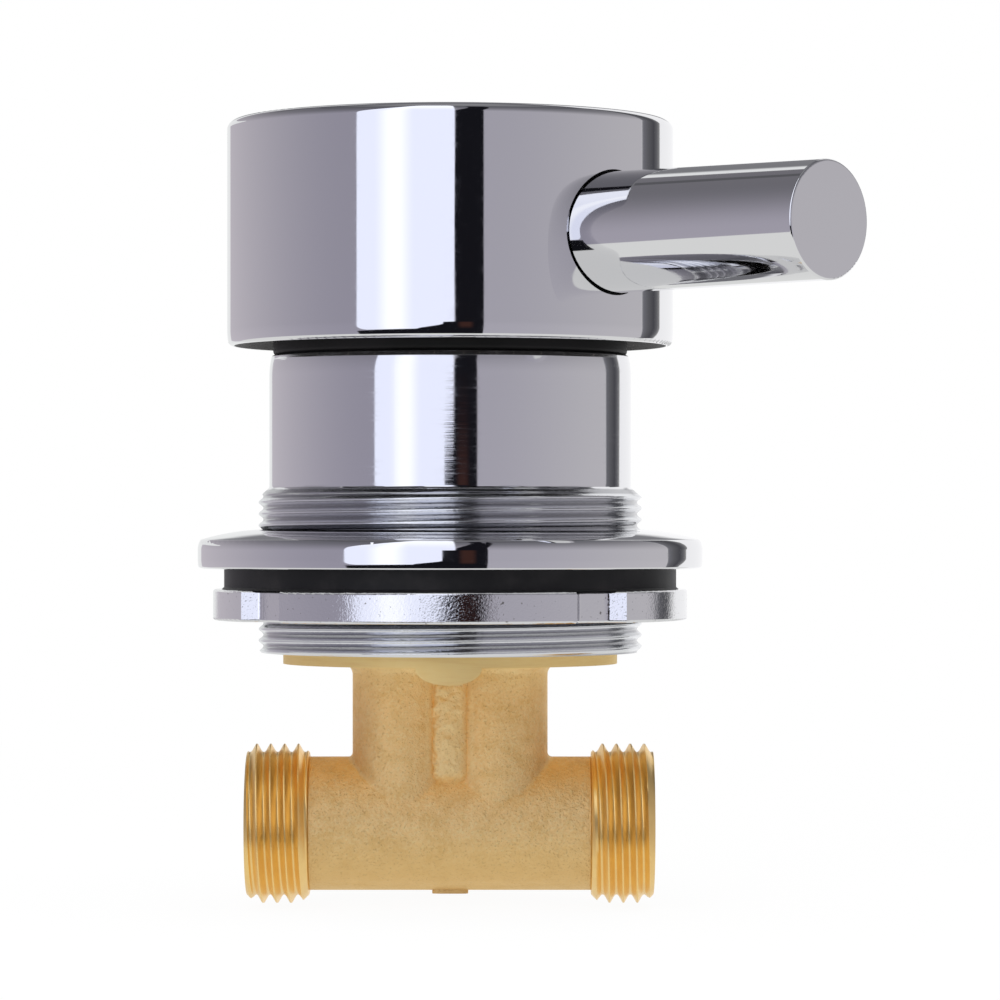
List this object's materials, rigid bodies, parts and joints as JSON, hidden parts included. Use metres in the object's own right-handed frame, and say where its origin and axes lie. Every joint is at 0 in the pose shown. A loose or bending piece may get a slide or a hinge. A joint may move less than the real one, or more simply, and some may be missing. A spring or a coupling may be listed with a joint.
{
  "type": "shower mixing valve",
  "caption": "Panel-clamped single-lever mixing valve with a ceramic cartridge, a round chrome handle and threaded ports on a cast brass body.",
  "frame": {"origin": "on the valve's axis, in the plane of the flange's back face, where the panel is clamped", "axes": "+Z along the valve's axis towards the handle, -Y towards the front, where the lever's middle position points, +X to the right inlet"},
  "size_m": [0.0842, 0.0821, 0.102],
  "materials": {
    "casting": "sand-cast, unplated",
    "turned_brass": "turned",
    "cap_chrome": "polished",
    "lever_chrome": "polished",
    "sleeve_chrome": "turned and plated",
    "flange_chrome": "polished",
    "nut_chrome": "cast and plated, pitted",
    "gasket_rubber": "moulded",
    "seal_rubber": "moulded",
    "cover_plastic": "moulded",
    "cartridge_plastic": "moulded",
    "rotor_plastic": "moulded",
    "ceramic": "lapped",
    "steel": "plain"
  },
  "bodies": {
    "valve": {"brass_body": "casting", "sleeve": "sleeve_chrome", "sleeve_seal": "seal_rubber", "flange_ring": "flange_chrome", "cartridge_base": "cartridge_plastic", "port_seals": "seal_rubber", "fixed_disc": "ceramic", "cartridge_housing": "cartridge_plastic", "slip_ring": "rotor_plastic", "retaining_nut": "turned_brass", "dust_cover": "cover_plastic"},
    "gasket": {"panel_gasket": "gasket_rubber"},
    "nut": {"lock_nut": "nut_chrome"},
    "rotor": {"stem_guide": "rotor_plastic", "stem_pin": "steel"},
    "slider": {"disc_coupler": "rotor_plastic", "moving_disc": "ceramic"},
    "handle": {"stem": "turned_brass", "handle_cap": "cap_chrome", "lever_bar": "lever_chrome", "lever_stud": "steel", "grub_screw": "steel"}
  },
  "joints": [
    {"name": "handle_turn", "type": "hinge", "parent": "valve", "child": "rotor", "pos_m": [0, 0, 0.019], "axis": [0, 0, 1], "range_deg": [-93, 0]},
    {"name": "handle_lift", "type": "hinge", "parent": "rotor", "child": "handle", "pos_m": [0, 0, 0.019], "axis": [-0.6884, -0.7254, 0], "range_deg": [0, 25]},
    {"name": "disc_slide", "type": "slide", "parent": "rotor", "child": "slider", "axis": [0.7254, -0.6884, 0], "range_m": [0, 0.0037]},
    {"name": "nut_travel", "type": "slide", "parent": "valve", "child": "gasket", "axis": [0, 0, -1], "range_m": [0, 0.0041]},
    {"name": "nut_turn", "type": "hinge", "parent": "gasket", "child": "nut", "pos_m": [0, 0, -0.0047], "axis": [0, 0, -1], "range_deg": [0, 972]}
  ],
  "couplings": [
    {"joint": "disc_slide", "follows": "handle_lift", "m_per_rad": 0.0084266},
    {"joint": "nut_travel", "follows": "nut_turn", "m_per_rad": 0.00023873}
  ]
}
